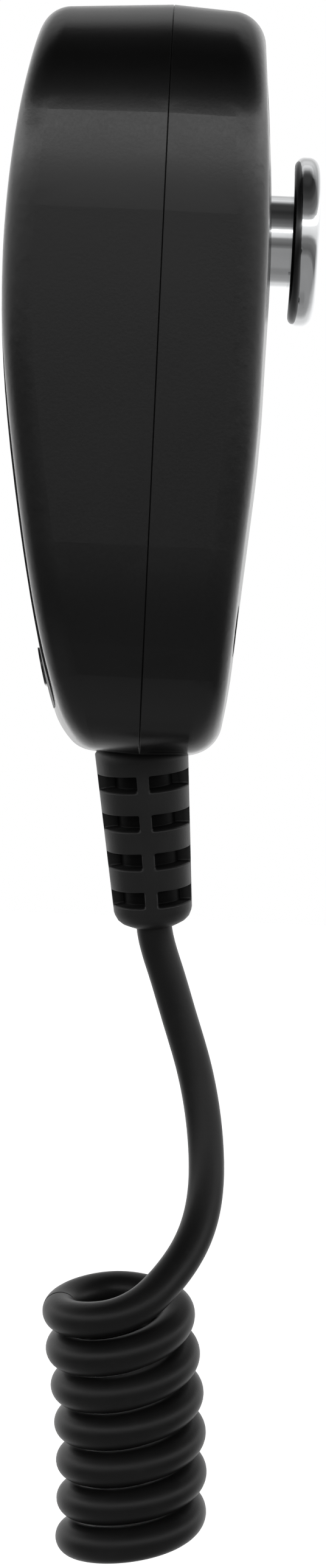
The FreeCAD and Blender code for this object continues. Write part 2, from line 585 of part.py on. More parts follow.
stud_screw.translate(V(STUD_BOSS_X - 1.0, 0, 0))
export("stud_screw", stud_screw)
washer = rod_x(0, 0, 4.6, STUD_BOSS_X - 1.0, STUD_BOSS_X)
washer = washer.cut(rod_x(0, 0, 2.15, STUD_BOSS_X - 2, STUD_BOSS_X + 1))
export("stud_washer", washer)

export("case_screws", screw_row(CASE_SCREWS, CASE_SCREW_LENGTH, 1.45, 2.8, 2.0))

# ---- strain relief boot ----------------------------------------------------------------------------------
# built upright below the origin, then leaned back and moved to the root
end = -BOOT_LENGTH
profile = [
    V(0, 0, 3), V(BOOT_ROOT_R + 0.15, 0, 3), V(BOOT_END_R, 0, end + 2.0), V(BOOT_END_R - 0.6, 0, end + 0.7),
    V(BOOT_END_R - 1.8, 0, end + 0.15), V(0, 0, end - 0.1),
]
boot_edges = [Part.makeLine(profile[0], profile[1]), Part.makeLine(profile[1], profile[2])]
boot_edges.append(Part.Arc(profile[2], profile[3], profile[4]).toShape())
boot_edges.append(Part.makeLine(profile[4], profile[5]))
boot_edges.append(Part.makeLine(profile[5], profile[0]))
boot = Part.Face(Part.Wire(boot_edges)).revolve(V(0, 0, 0), V(0, 0, 1), 360)
webs = box(-10, 10, -BOOT_WEB / 2, BOOT_WEB / 2, end, 0)
webs = webs.fuse(box(-BOOT_WEB / 2, BOOT_WEB / 2, -10, 10, end, 0))
for i in range(BOOT_SLOT_ROWS):
    middle = -BOOT_SLOT_FIRST - i * BOOT_SLOT_PITCH
    low = middle - BOOT_SLOT_HEIGHT / 2
    high = middle + BOOT_SLOT_HEIGHT / 2
    ring = rod_z(0, 0, 9, low, high).cut(rod_z(0, 0, BOOT_CORE_R, low - 1, high + 1))
    boot = boot.cut(ring.cut(webs))
boot.Placement = FreeCAD.Placement(boot_root, FreeCAD.Rotation(V(0, 0, -1), lean_dir))
boot = boot.cut(outer).cut(box(-40, 10, -20, 20, BOTTOM_Z + 1, BOTTOM_Z + 20))
flange_z = BOTTOM_Z + WALL + 0.5
boot = boot.fuse(rod_z(PARTING_X, 0, BOOT_NECK_R, BOTTOM_Z - 0.8, flange_z + 0.5))
boot = boot.fuse(rod_z(PARTING_X, 0, BOOT_FLANGE_R, flange_z, flange_z + 1.5))

# the cord inside the case and the boot: straight, a bend at the root, straight again
bend = Part.BezierCurve()
bend.setPoles([boot_root - inner_dir * CORD_BEND, boot_root, boot_root + lean_dir * CORD_BEND])
inner_path = [
    Part.makeLine(jacket_top, boot_root - inner_dir * CORD_BEND), bend.toShape(),
    Part.makeLine(boot_root + lean_dir * CORD_BEND, boot_end),
]
export("cord_inner", pipe(inner_path, CORD_R))
bore_path = inner_path[:2] + [Part.makeLine(boot_root + lean_dir * CORD_BEND, boot_end + lean_dir)]
boot = boot.cut(pipe(bore_path, CORD_R + CORD_PLAY))
export("strain_relief_boot", boot)

# ---- cord clamp inside the case ---------------------------------------------------------------
foot_top = CLAMP_SEAT_X + CLAMP_THICK
clamp = box(CLAMP_SEAT_X, foot_top, -8.6, 8.6, CLAMP_Z - 2.0, CLAMP_Z + 2.0)
clamp = clamp.makeFillet(1.2, [e for e in clamp.Edges if abs(e.Length - CLAMP_THICK) < 0.01])
arch = Part.makeCylinder(CORD_R + CLAMP_THICK, 30, jacket_top - inner_dir * 5, inner_dir)
clamp = clamp.fuse(arch.common(box(CLAMP_SEAT_X, 0, -9, 9, CLAMP_Z - 2.0, CLAMP_Z + 2.0)))
clamp = clamp.cut(Part.makeCylinder(CORD_R + CORD_PLAY, 30, jacket_top - inner_dir * 5, inner_dir))
for y in (-6.3, 6.3):
    clamp = clamp.cut(rod_x(y, CLAMP_Z, 1.25, CLAMP_SEAT_X - 1, 0))
export("cord_clamp", clamp)
clamp_seats = [(-6.3, CLAMP_Z, foot_top), (6.3, CLAMP_Z, foot_top)]
export("clamp_screws", screw_row(clamp_seats, 6.5, 1.1, 2.0, 1.4))

# ---- cord: lead, coil, tail -------------------------------------------------------------------
def coil_point(half_turns):
    share = half_turns / COIL_HALF_TURNS
    ease = 1 - (1 - share) ** 2
    angle = -math.pi * half_turns
    across = COIL_R * math.cos(angle)
    depth = COIL_R * math.sin(angle)
    tilt_x = TILT_X[0] + (TILT_X[1] - TILT_X[0]) * share
    tilt_y = TILT_Y[0] + (TILT_Y[1] - TILT_Y[0]) * share
    z = COIL_TOP_Z - COIL_PITCH / 2 * half_turns + tilt_x * across + tilt_y * depth
    return V(COIL_TOP_X + COIL_DRIFT_X * ease + across, COIL_DRIFT_Y * ease + depth, z)


last_half = COIL_HALF_TURNS + TAIL_TURN_DEG / 180
points = [boot_end] + [V(*p) for p in LEAD] + [V(*p) for p in FIRST_LOOP]
coil_steps = 134             # points along the coil
for i in range(coil_steps + 1):
    points.append(coil_point(last_half * i / coil_steps))
cord_end = points[-1]
tail_dir = cord_end - coil_point(last_half - 0.001)
tail_dir.normalize()
cord_line = smooth(points, lean_dir, tail_dir)
split = cord_line.parameter(V(*FIRST_LOOP[0]))
export("cord_lead", tube(cord_line, CORD_R, cord_line.FirstParameter, split, 4))
export("cord_coil", tube(cord_line, CORD_R, split, cord_line.LastParameter, 24))
inward = tail_dir.cross(V(0, 0, 1))
inward.normalize()


def tail_bend(angle):
    """Point and direction of the tail's bend after turning by the angle."""
    sine, cosine = math.sin(angle), math.cos(angle)
    point = cord_end + inward * (TAIL_BEND_R * (1 - cosine)) + tail_dir * (TAIL_BEND_R * sine)
    return point, tail_dir * cosine + inward * sine


tail_angle = TAIL_BEND_LENGTH / TAIL_BEND_R
grip_start, grip_dir = tail_bend(tail_angle)
tail_arc = Part.Arc(cord_end, tail_bend(tail_angle / 2)[0], grip_start).toShape()
tail = pipe([tail_arc], CORD_R).fuse(Part.makeCylinder(CORD_R, TAIL_LENGTH, grip_start, grip_dir))
strand_base = grip_start + grip_dir * (TAIL_LENGTH - STRIP_DEPTH)
tail = tail.cut(Part.makeCylinder(1.65, STRIP_DEPTH + 0.8, strand_base, grip_dir))
export("cord_tail", tail)
side = grip_dir.cross(V(0, 0, 1))
side.normalize()
up = side.cross(grip_dir)
strands = []
for i in range(4):
    angle = math.pi / 4 + math.pi / 2 * i
    offset = side * math.cos(angle) + up * math.sin(angle)
    base = strand_base + offset * CONDUCTOR_RING_R
    strands.append(Part.makeCylinder(CONDUCTOR_R, STRIP_DEPTH - 0.1, base, grip_dir))
export("cord_conductors", Part.makeCompound(strands))

# ---- wires from the cord to the connector -----------------------------------------------------
wires = []
for dx, dy, y_end in ((-0.9, -0.9, -4.5), (0.9, -0.9, -1.5), (0.9, 0.9, 1.5), (-0.9, 0.9, 4.5)):
    start = jacket_top + V(dx, dy, dx * LEAN_X)
    finish = V(BOARD_REAR_X + 2.3, y_end, -40.5)
    leave = start - inner_dir * 1.6
    arrive = finish - V(0, 0, 2.0)
    line = smooth([start, leave, (leave + arrive) * 0.5, arrive, finish], inner_dir * -1, V(0, 0, 1))
    wires.append(tube(line, CONDUCTOR_R, line.FirstParameter, line.LastParameter))
export("lead_wires", Part.makeCompound(wires))
print("nodes written:", len(os.listdir("parts")))
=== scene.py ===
import json
import math

import bmesh
import bpy
import numpy as np
from mathutils import Matrix, Vector


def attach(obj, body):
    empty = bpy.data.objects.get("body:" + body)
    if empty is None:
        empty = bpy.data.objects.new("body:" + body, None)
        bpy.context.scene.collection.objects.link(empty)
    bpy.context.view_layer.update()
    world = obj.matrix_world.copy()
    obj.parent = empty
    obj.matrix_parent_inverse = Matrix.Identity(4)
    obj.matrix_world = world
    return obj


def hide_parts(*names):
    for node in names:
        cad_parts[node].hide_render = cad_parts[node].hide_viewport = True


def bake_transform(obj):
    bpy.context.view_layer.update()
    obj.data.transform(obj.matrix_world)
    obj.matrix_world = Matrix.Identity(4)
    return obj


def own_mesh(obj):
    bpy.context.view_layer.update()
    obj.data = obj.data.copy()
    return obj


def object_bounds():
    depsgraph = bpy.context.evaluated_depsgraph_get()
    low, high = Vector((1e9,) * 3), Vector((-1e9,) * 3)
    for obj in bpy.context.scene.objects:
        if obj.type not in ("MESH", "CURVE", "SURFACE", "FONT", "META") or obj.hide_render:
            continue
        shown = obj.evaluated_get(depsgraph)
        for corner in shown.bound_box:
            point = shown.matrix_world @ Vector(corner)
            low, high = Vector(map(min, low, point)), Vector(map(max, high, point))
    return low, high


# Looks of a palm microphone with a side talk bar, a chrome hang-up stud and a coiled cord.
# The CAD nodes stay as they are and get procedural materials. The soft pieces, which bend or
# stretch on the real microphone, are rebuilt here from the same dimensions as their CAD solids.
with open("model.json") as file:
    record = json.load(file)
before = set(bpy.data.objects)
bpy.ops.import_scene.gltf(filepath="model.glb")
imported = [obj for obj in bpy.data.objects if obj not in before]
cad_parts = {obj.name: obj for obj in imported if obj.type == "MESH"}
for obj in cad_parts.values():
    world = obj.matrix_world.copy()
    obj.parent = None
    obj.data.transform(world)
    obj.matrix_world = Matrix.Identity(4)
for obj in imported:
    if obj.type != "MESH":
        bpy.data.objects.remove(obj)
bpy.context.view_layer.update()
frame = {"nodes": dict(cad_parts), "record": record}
nodes = frame["nodes"]
MM = 0.001

# ---- the cord, the boot and the spring, in millimetres, as the CAD has them ------------------
CORD_R = 2.22
PARTING_X = -14.45
LEAN = Vector((0.1185, 0.17, -1.0)).normalized()
ENTRY = Vector((0.1185, 0.0, -1.0)).normalized()
BOOT_ROOT = Vector((-14.2, 0.0, -64.2))
BOOT_LENGTH = 21.3
BOOT_END = BOOT_ROOT + LEAN * BOOT_LENGTH
BOOT_ROOT_R = 5.75
BOOT_END_R = 4.88
BOOT_TAPER = 19.3            # the boot gets thinner over this length, then rounds off
BOOT_CORE_R = 3.6
BORE_R = 2.24
BOOT_NECK_R = 4.3           # the boot's neck goes through the wall of the case, to a flange behind it
BOOT_FLANGE_R = 6.2
NECK_LOW_Z = -62.9
FLANGE_LOW_Z = -61.7
FLANGE_TOP_Z = -60.2
SLOT_ROWS = 4
SLOT_FIRST = 2.8
SLOT_PITCH = 4.85
SLOT_HALF_HEIGHT = 0.9
WEB_HALF_WIDTH = 0.75
JACKET_TOP_Z = -50.0
CORD_BEND = 4.5
LEAD = [
    (-9.95, 4.2, -91.0), (-8.0, 4.5, -96.6), (-6.1, 4.4, -102.1), (-4.75, 3.8, -107.4),
    (-3.9, 2.7, -113.3), (-3.85, 1.2, -118.3), (-4.85, -0.8, -122.9), (-6.8, -3.1, -126.5),
    (-8.6, -4.8, -128.7), (-11.2, -6.6, -131.0), (-14.3, -7.2, -132.5), (-17.4, -6.2, -133.2),
    (-20.1, -3.4, -133.4),
]
FIRST_LOOP = [(-21.05, 0, -133.1), (-18.9, 5.1, -132.0), (-13.7, 7.2, -131.2), (-8.6, 5.1, -131.7)]
COIL_R = 7.15
COIL_PITCH = 4.96
COIL_HALF_TURNS = 11
COIL_TOP = Vector((-13.75, 0.0, -134.1))
COIL_DRIFT = Vector((2.65, 5.0, 0.0))
TILT_X = (0.165, 0.08)
TILT_Y = (0.27, 0.12)
COIL_STEPS = 134            # spans of the curve between the coil's first and last point
TAIL_TURN = 30.0 / 180.0
COIL_STRETCH = 0.15         # metres
SPRING_CENTRE = (-16.0, -27.0)
SPRING_SEAT_Y = 17.0
SPRING_TOP_Y = 25.0
SPRING_R = 2.3
SPRING_WIRE_R = 0.45
SPRING_GAP = 0.02
SPRING_TURNS = 4


# ---- shader helpers --------------------------------------------------------------------------
class Shader:
    """Node tree of one material: a principled surface fed by the object's own coordinates."""

    def __init__(self, name, metallic=0.0, specular=0.5):
        self.material = bpy.data.materials.new(name)
        self.material.use_nodes = True
        self.tree = self.material.node_tree
        self.tree.nodes.clear()
        self.surface = self.add("ShaderNodeBsdfPrincipled")
        self.surface.inputs["Metallic"].default_value = metallic
        self.surface.inputs["Specular IOR Level"].default_value = specular
        out = self.add("ShaderNodeOutputMaterial")
        self.link(self.surface.outputs[0], out.inputs[0])
        self.place = self.add("ShaderNodeTexCoord").outputs["Object"]
        self.geometry = self.add("ShaderNodeNewGeometry")

    def add(self, kind, **settings):
        node = self.tree.nodes.new(kind)
        for key, value in settings.items():
            setattr(node, key, value)
        return node

    def link(self, source, target):
        self.tree.links.new(source, target)

    def feed(self, target, value):
        if isinstance(value, bpy.types.NodeSocket):
            self.link(value, target)
        else:
            target.default_value = value

    def stretched(self, scale):
        node = self.add("ShaderNodeMapping")
        self.link(self.place, node.inputs["Vector"])
        node.inputs["Scale"].default_value = scale
        return node.outputs[0]

    def noise(self, scale, detail=2.0, rough=0.5, place=None):
        """Noise with cells of about 1 / scale metres."""
        node = self.add("ShaderNodeTexNoise")
        self.link(place or self.place, node.inputs["Vector"])
        node.inputs["Scale"].default_value = scale
        node.inputs["Detail"].default_value = detail
        node.inputs["Roughness"].default_value = rough
        return node.outputs[0]

    def cells(self, scale, feature="F1"):
        node = self.add("ShaderNodeTexVoronoi", feature=feature)
        self.link(self.place, node.inputs["Vector"])
        node.inputs["Scale"].default_value = scale
        return node.outputs["Distance"]

    def waves(self, scale, direction, distortion=0.0, kind="BANDS"):
        node = self.add("ShaderNodeTexWave", wave_type=kind)
        if kind == "BANDS":
            node.bands_direction = direction
        else:
            node.rings_direction = direction
        self.link(self.place, node.inputs["Vector"])
        node.inputs["Scale"].default_value = scale
        node.inputs["Distortion"].default_value = distortion
        return node.outputs["Fac"]

    def fit(self, value, low, high, to_low, to_high):
        """Value from low..high turned into to_low..to_high, and held there beyond."""
        node = self.add("ShaderNodeMapRange", clamp=True)
        self.feed(node.inputs["Value"], value)
        for i, number in enumerate((low, high, to_low, to_high)):
            node.inputs[i + 1].default_value = number
        return node.outputs[0]

    def math(self, operation, a, b=0.0):
        node = self.add("ShaderNodeMath", operation=operation)
        self.feed(node.inputs[0], a)
        self.feed(node.inputs[1], b)
        return node.outputs[0]

    def mix(self, factor, a, b):
        """Colour a where factor is 0 and b where it is 1."""
        node = self.add("ShaderNodeMix", data_type="RGBA")
        self.feed(node.inputs[0], factor)
        for socket, colour in ((node.inputs[6], a), (node.inputs[7], b)):
            if isinstance(colour, tuple):
                colour = (*colour, 1.0)
            self.feed(socket, colour)
        return node.outputs[2]

    def bump(self, height, depth, strength=1.0, under=None):
        node = self.add("ShaderNodeBump")
        self.feed(node.inputs["Height"], height)
        node.inputs["Distance"].default_value = depth
        node.inputs["Strength"].default_value = strength
        if under is not None:
            self.link(under, node.inputs["Normal"])
        return node.outputs[0]

    def edges(self, radius):
        """1 on outer and inner edges sharper than the radius, 0 on smooth faces."""
        bevel = self.add("ShaderNodeBevel", samples=4)
        bevel.inputs["Radius"].default_value = radius
        dot = self.add("ShaderNodeVectorMath", operation="DOT_PRODUCT")
        self.link(bevel.outputs[0], dot.inputs[0])
        self.link(self.geometry.outputs["Normal"], dot.inputs[1])
        return self.fit(dot.outputs["Value"], 0.97, 0.8, 0.0, 1.0)

    def set(self, colour=None, rough=None, normal=None, **others):
        wanted = {"Base Color": colour, "Roughness": rough, "Normal": normal}
        wanted.update(others)
        for name, value in wanted.items():
            if value is None:
                continue
            if isinstance(value, tuple):
                value = (*value, 1.0)
            self.feed(self.surface.inputs[name], value)
        return self.material


def grey(value, warmth=0.0):
    return (value * (1 + warmth), value, value * (1 - warmth))


# ---- materials -------------------------------------------------------------------------------
# The boot's material paints shade into the slots by this attribute: painted shade, darkest at a slot's
# bottom.
PAINTED_SLOT_SHADE = "slot_shade"           # mesh attribute: 1 at the bottom of a slot, 0 on the skin


def moulded_plastic(name, tone, rough, grain, grain_depth, wear=0.5):
    """Moulded black plastic: spark-eroded grain, slight sheen changes, rubbed edges and fine scratches."""
    s = Shader(name)
    cloud = s.noise(55, 3)
    fine = s.noise(grain, 2, 0.6)
    scratch = s.noise(900, 2, 0.4, s.stretched((0.08, 1.0, 0.03)))
    colour = s.mix(s.fit(cloud, 0.3, 0.7, 0, 1), grey(tone * 0.9, -0.01), grey(tone * 1.1, 0.01))
    rub = s.math("MULTIPLY", s.edges(0.0004), s.fit(s.noise(420, 3), 0.35, 0.7, 0.1, wear))
    colour = s.mix(rub, colour, grey(tone * 2.4))
    level = s.fit(s.noise(38, 4, 0.6), 0.3, 0.7, rough - 0.025, rough + 0.035)
    level = s.math("ADD", level, s.fit(fine, 0.3, 0.7, -0.02, 0.02))
    level = s.math("SUBTRACT", level, s.fit(scratch, 0.66, 0.8, 0.0, 0.06))
    normal = s.bump(fine, grain_depth)
    normal = s.bump(scratch, 0.000004, 0.4, normal)
    return s.set(colour, level, normal)


def textured_panel(name, tone, rough):
    """Front panel with a coarser leather-like grain."""
    s = Shader(name)
    hide = s.cells(1500, "SMOOTH_F1")
    fine = s.noise(5200, 2)
    colour = s.mix(s.fit(hide, 0.1, 0.7, 0, 1), grey(tone * 1.15), grey(tone * 0.8))
    rub = s.math("MULTIPLY", s.edges(0.00035), s.fit(s.noise(420, 3), 0.35, 0.7, 0.15, 0.6))
    colour = s.mix(rub, colour, grey(tone * 2.2))
    level = s.fit(hide, 0.1, 0.7, rough, rough + 0.12)
    normal = s.bump(fine, 0.000008, 0.5, s.bump(hide, 0.00004, 0.8))
    return s.set(colour, level, normal)


def gloss_plastic(name, colour_a, colour_b, rough):
    s = Shader(name)
    colour = s.mix(s.fit(s.noise(300, 3), 0.3, 0.7, 0, 1), colour_a, colour_b)
    level = s.fit(s.noise(900, 3), 0.3, 0.7, rough - 0.03, rough + 0.05)
    return s.set(colour, level, s.bump(s.noise(2500, 2), 0.000006))


def chrome(name):
    """Polished plating: faint turning lines, handling haze and small pits."""
    s = Shader(name, metallic=1.0)
    haze = s.noise(170, 4, 0.6)
    turned = s.waves(2600, "X", 1.5, "RINGS")
    pits = s.fit(s.cells(900), 0.0, 0.06, 1.0, 0.0)
    colour = s.mix(s.fit(haze, 0.35, 0.75, 0, 1), (0.8, 0.81, 0.82), (0.7, 0.71, 0.72))
    colour = s.mix(s.math("MULTIPLY", pits, 0.5), colour, (0.32, 0.31, 0.3))
    level = s.math("ADD", s.fit(haze, 0.35, 0.75, 0.045, 0.12), s.math("MULTIPLY", pits, 0.2))
    normal = s.bump(turned, 0.0000012, 0.5, s.bump(s.noise(90, 2), 0.00002, 0.35))
    return s.set(colour, level, normal)


def machined_metal(name, light, dark, rough, direction="X", rust=None):
    """Plated or drawn metal with fine lines along one direction and dull spots."""
    s = Shader(name, metallic=1.0)
    lines = s.waves(5200, direction, 4.0)
    cloud = s.noise(700, 3)
    colour = s.mix(s.fit(cloud, 0.3, 0.7, 0, 1), light, dark)
    if rust is not None:
        colour = s.mix(s.fit(s.noise(1400, 4), 0.62, 0.8, 0, 0.7), colour, rust)
    level = s.math("ADD", s.fit(cloud, 0.3, 0.7, rough - 0.04, rough + 0.08), s.fit(lines, 0, 1, -0.03, 0.03))
    return s.set(colour, level, s.bump(lines, 0.000003, 0.5))


def rubber(name, tone, rough, grain, grain_depth):
    """Matte moulded rubber: dusty bloom on the high spots, dull grain, and painted shade with less specular
    at the bottoms of slots, where the mesh marks them.
    """
    s = Shader(name)
    fine = s.noise(grain, 3, 0.6)
    cloud = s.noise(240, 4, 0.6)
    bloom = s.math("MULTIPLY", s.fit(cloud, 0.45, 0.8, 0.0, 0.5), s.fit(fine, 0.4, 0.6, 0.4, 1.0))
    colour = s.mix(bloom, grey(tone), grey(tone * 1.7, 0.02))
    rub = s.math("MULTIPLY", s.edges(0.0003), 0.15)
    colour = s.mix(rub, colour, grey(tone * 2.0))
    # painted shade: the bottoms of the boot's slots are painted near black and given less specular
    slot_shade = s.add("ShaderNodeAttribute", attribute_name=PAINTED_SLOT_SHADE).outputs["Fac"]
    colour = s.mix(slot_shade, colour, grey(tone * 0.2))
    level = s.fit(cloud, 0.3, 0.75, rough - 0.05, rough + 0.08)
    shine = s.fit(slot_shade, 0, 1, 0.4, 0.08)
    return s.set(colour, level, s.bump(fine, grain_depth), **{"Specular IOR Level": shine})


def cord_jacket(name, tone, rough):
    """Extruded jacket: fine grain, with a soft sheen and lighter rubbed patches."""
    s = Shader(name, specular=0.24)
    fine = s.noise(3600, 3, 0.55)
    broad = s.noise(160, 3)
    rub = s.fit(s.noise(650, 4, 0.65), 0.55, 0.8, 0.0, 0.5)
    colour = s.mix(s.fit(broad, 0.3, 0.7, 0, 1), grey(tone * 0.9), grey(tone * 1.12, 0.01))
    colour = s.mix(rub, colour, grey(tone * 1.6))
    level = s.math("ADD", s.fit(broad, 0.3, 0.7, rough - 0.03, rough + 0.04), s.math("MULTIPLY", rub, 0.12))
    return s.set(colour, level, s.bump(fine, 0.000014, 0.8))


def solder_mask(name):
    """Circuit board: copper tracks under green lacquer, bare edge of glass laminate."""
    s = Shader(name)
    tracks = s.fit(s.waves(520, "Z", 9.0), 0.55, 0.62, 0, 1)
    pads = s.fit(s.cells(420), 0.16, 0.2, 1, 0)
    weave = s.math("MULTIPLY", s.waves(1400, "Y"), s.waves(1400, "Z"))
    colour = s.mix(tracks, (0.012, 0.075, 0.03), (0.03, 0.16, 0.06))
    colour = s.mix(s.math("MULTIPLY", pads, 0.8), colour, (0.62, 0.6, 0.55))
    edge = s.add("ShaderNodeSeparateXYZ")
    s.link(s.geometry.outputs["Normal"], edge.inputs[0])
    face = s.fit(s.math("ABSOLUTE", edge.outputs[0]), 0.5, 0.9, 0, 1)
    colour = s.mix(face, (0.4, 0.36, 0.2), colour)
    return s.set(colour, s.fit(weave, 0, 1, 0.28, 0.38), s.bump(tracks, 0.00003, 0.6))


def woven_cloth(name):
    s = Shader(name, specular=0.2)
    warp = s.waves(1500, "Y", 0.4)
    weft = s.waves(1500, "Z", 0.4)
    weave = s.math("MAXIMUM", warp, weft)
    hole = s.fit(weave, 0.25, 0.5, 1, 0)
    colour = s.mix(hole, grey(0.028), grey(0.006))
    return s.set(colour, 0.85, s.bump(weave, 0.00012))


def wire_colours(name):
    """Four insulated wires, each in its own plain colour."""
    s = Shader(name)
    ramp = s.add("ShaderNodeValToRGB")
    ramp.color_ramp.interpolation = "CONSTANT"
    shades = [(0.5, 0.02, 0.015), (0.75, 0.74, 0.7), (0.01, 0.12, 0.4), (0.6, 0.38, 0.02)]
    while len(ramp.color_ramp.elements) < len(shades):
        ramp.color_ramp.elements.new(0.5)
    for i, shade in enumerate(shades):
        ramp.color_ramp.elements[i].position = i / len(shades)
        ramp.color_ramp.elements[i].color = (*shade, 1.0)
    s.link(s.geometry.outputs["Random Per Island"], ramp.inputs[0])
    colour = s.mix(s.fit(s.noise(1500, 3), 0.35, 0.75, 0, 0.25), ramp.outputs[0], grey(0.05))
    return s.set(colour, s.fit(s.noise(900, 2), 0.3, 0.7, 0.32, 0.44), s.bump(s.noise(3000, 2), 0.00001))


def make_materials():
    copper = (0.82, 0.4, 0.22)
    return {
        "case_plastic": moulded_plastic("case_plastic", 0.0032, 0.23, 3000, 0.000005),
        "panel_plastic": textured_panel("panel_plastic", 0.007, 0.4),
        "badge_plastic": gloss_plastic("badge_plastic", grey(0.03), grey(0.036), 0.18),
        "bar_plastic": moulded_plastic("bar_plastic", 0.008, 0.36, 2600, 0.000014, 0.8),
        "stud_chrome": chrome("stud_chrome"),
        "steel": machined_metal("steel", (0.66, 0.66, 0.67), (0.5, 0.5, 0.52), 0.26),
        "black_steel": machined_metal("black_steel", grey(0.05), grey(0.03), 0.36, "X", (0.2, 0.19, 0.18)),
        "boot_rubber": rubber("boot_rubber", 0.0085, 0.46, 2600, 0.000014),
        "cord_jacket": cord_jacket("cord_jacket", 0.0085, 0.38),
        "copper": machined_metal("copper", copper, (0.55, 0.24, 0.13), 0.3, "Y"),
        "board_green": solder_mask("board_green"),
        "component_black": moulded_plastic("component_black", 0.02, 0.5, 4200, 0.00002),
        "can_aluminium": machined_metal("can_aluminium", (0.77, 0.77, 0.79), (0.62, 0.62, 0.65), 0.3, "X"),
        "screen_cloth": woven_cloth("screen_cloth"),
        "cup_rubber": rubber("cup_rubber", 0.03, 0.6, 1800, 0.00002),
        "connector_white": gloss_plastic("connector_white", (0.74, 0.7, 0.6), (0.66, 0.62, 0.52), 0.4),
        "wire_insulation": wire_colours("wire_insulation"),
        "plunger_red": gloss_plastic("plunger_red", (0.42, 0.03, 0.02), (0.34, 0.02, 0.015), 0.35),
    }


def paint_cad_nodes(materials):
    """Each CAD node gets the procedural material of its slot in the record."""
    for part in frame["record"]["subparts"]:
        mesh = nodes[part["node"]].data
        for i in range(len(mesh.materials)):
            mesh.materials[i] = materials[part["material_slot"]]


# ---- mesh helpers ----------------------------------------------------------------------------
def grid_object(name, rings, material, ends="CAPPED"):
    """Closed skin through rings of points in millimetres: capped, or the last ring joined to the first."""
    rings = np.asarray(rings)
    count, sides = rings.shape[0], rings.shape[1]
    points = (rings.reshape(-1, 3) * MM).tolist()
    faces = []
    for i in range(count if ends == "JOINED" else count - 1):
        a, b = i * sides, (i + 1) % count * sides
        for j in range(sides):
            k = (j + 1) % sides
            faces.append((a + j, a + k, b + k, b + j))
    if ends == "CAPPED":
        faces.append(tuple(range(sides - 1, -1, -1)))
        faces.append(tuple((count - 1) * sides + j for j in range(sides)))
    mesh = bpy.data.meshes.new(name)
    mesh.from_pydata(points, [], faces)
    mesh.validate()
    mesh.shade_smooth()
    mesh.materials.append(material)
    made = bpy.data.objects.new(name, mesh)
    bpy.context.scene.collection.objects.link(made)
    return made


def turned_out(made):
    """Makes sure that the faces of a closed mesh look outwards."""
    mesh = bmesh.new()
    mesh.from_mesh(made.data)
    bmesh.ops.recalc_face_normals(mesh, faces=mesh.faces)
    mesh.to_mesh(made.data)
    mesh.free()
    return made


def clamped_spline(points, first, last):
    """Twice-smooth curve through the points with chord-length knots, as (knots, points, slopes)."""
    p = np.asarray(points, float)
    step = np.linalg.norm(np.diff(p, axis=0), axis=1)
    knots = np.concatenate([[0.0], np.cumsum(step)])
    count = len(p)
    system = np.eye(count)
    right = np.zeros((count, 3))
    right[0] = first
    right[-1] = last
    for i in range(1, count - 1):
        before, after = step[i - 1], step[i]
        system[i, i - 1] = after
        system[i, i] = 2 * (before + after)
        system[i, i + 1] = before
        right[i] = 3 * (after * (p[i] - p[i - 1]) / before + before * (p[i + 1] - p[i]) / after)
    return knots, p, np.linalg.solve(system, right)


def spline_at(curve, at):
    """Points of the curve at the given knot values."""
    knots, p, m = curve
    i = np.clip(np.searchsorted(knots, at, side="right") - 1, 0, len(knots) - 2)
    h = (knots[i + 1] - knots[i])[:, None]
    t = ((at - knots[i])[:, None]) / h
    return (
        (2 * t ** 3 - 3 * t ** 2 + 1) * p[i] + (t ** 3 - 2 * t ** 2 + t) * h * m[i]
        + (3 * t ** 2 - 2 * t ** 3) * p[i + 1] + (t ** 3 - t ** 2) * h * m[i + 1]
    )


def tube_rings(line, radius, sides):
    """Round rings square to a line of points, carried along it without twist."""
    line = np.asarray(line, float)
    along = np.gradient(line, axis=0)
    along /= np.linalg.norm(along, axis=1)[:, None]
    off_line = (0.3, 0.2, 0.93)     # any direction that isn't along the line
    side = np.cross(along[0], off_line)
    side /= np.linalg.norm(side)
    turn = np.arange(sides) * 2 * math.pi / sides
    rings = []
    for centre, direction in zip(line, along):
        side = side - direction * (side @ direction)
        side /= np.linalg.norm(side)
        up = np.cross(direction, side)
        rings.append(centre + radius * (np.outer(np.cos(turn), side) + np.outer(np.sin(turn), up)))
    return np.array(rings)


# ---- strain relief boot ----------------------------------------------------------------------
def bend_line(distance):
    """Point of the cord's centre line at a distance below the boot's root, negative inside the case."""
    if distance >= CORD_BEND:
        return BOOT_ROOT + LEAN * distance
    if distance <= -CORD_BEND:
        return BOOT_ROOT + ENTRY * distance
    t = (distance + CORD_BEND) / (2 * CORD_BEND)
    start = BOOT_ROOT - ENTRY * CORD_BEND
    end = BOOT_ROOT + LEAN * CORD_BEND
    return start * (1 - t) ** 2 + BOOT_ROOT * 2 * t * (1 - t) + end * t ** 2


def smoothstep(value, low, high):
    """0 below low, 1 above high, and a smooth ramp between."""
    t = min(1.0, max(0.0, (value - low) / (high - low)))
    return t * t * (3 - 2 * t)


def slot_depth(angle, distance):
    """0 on the boot's skin and 1 at the bottom of a slot; the slots leave four webs along the boot."""
    from_web = min(abs(math.cos(angle)), abs(math.sin(angle))) * boot_radius(distance)
    open_side = smoothstep(from_web, WEB_HALF_WIDTH, WEB_HALF_WIDTH + 0.3)
    row = min(abs(distance - SLOT_FIRST - SLOT_PITCH * i) for i in range(SLOT_ROWS))
    return open_side * (1 - smoothstep(row, SLOT_HALF_HEIGHT - 0.1, SLOT_HALF_HEIGHT + 0.12))


def boot_radius(distance):
    """Radius of the boot's skin at a distance below its root."""
    return BOOT_ROOT_R + (BOOT_END_R - BOOT_ROOT_R) * distance / BOOT_TAPER


